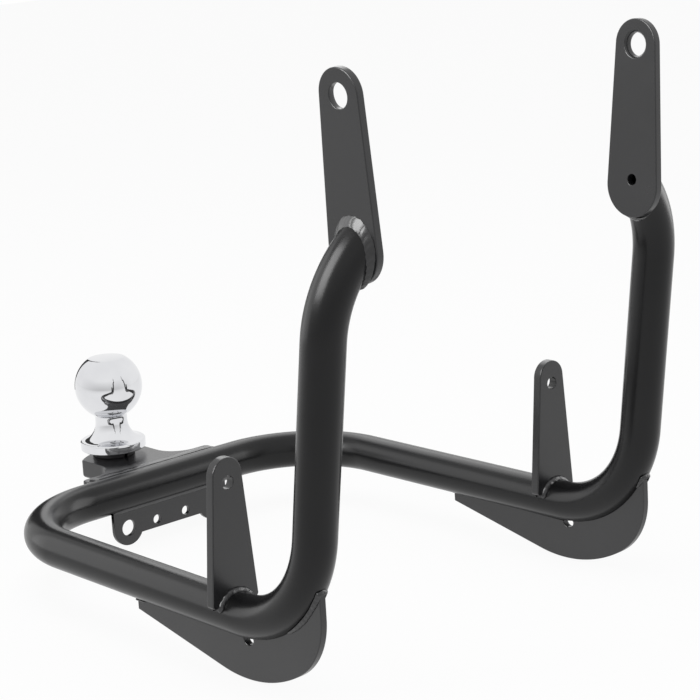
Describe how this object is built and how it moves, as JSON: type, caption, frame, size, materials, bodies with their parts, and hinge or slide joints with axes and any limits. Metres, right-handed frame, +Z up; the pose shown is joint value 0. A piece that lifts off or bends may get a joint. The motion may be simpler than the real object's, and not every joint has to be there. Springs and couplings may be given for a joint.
{
  "type": "motorcycle trailer hitch",
  "caption": "Motorcycle trailer hitch: a bent round tube with a chromed ball on a platform, strap plates, tabs, gussets and a safety-chain plate, in black powder coat.",
  "frame": {"origin": "centre of the hitch ball", "axes": "+Z up, +Y rearward away from the motorcycle, +X to the motorcycle's left"},
  "size_m": [0.3062, 0.4379, 0.3568],
  "materials": {
    "powder_coat": "satin black powder coat",
    "chrome": "polished chrome plate",
    "plated_steel": "bright zinc plate"
  },
  "bodies": {
    "root": {"main_tube": "powder_coat", "strap_plate_right": "powder_coat", "strap_plate_left": "powder_coat", "tab_right": "powder_coat", "tab_left": "powder_coat", "gusset_right": "powder_coat", "gusset_left": "powder_coat", "tongue_plate": "powder_coat", "chain_plate": "powder_coat", "hitch_ball": "chrome", "lock_washer": "plated_steel", "shank_nut": "plated_steel", "strap_weld_right": "powder_coat", "strap_weld_left": "powder_coat", "tab_weld_right": "powder_coat", "tab_weld_left": "powder_coat", "gusset_weld_right": "powder_coat", "gusset_weld_left": "powder_coat", "tongue_weld": "powder_coat", "chain_plate_weld": "powder_coat"}
  },
  "joints": []
}
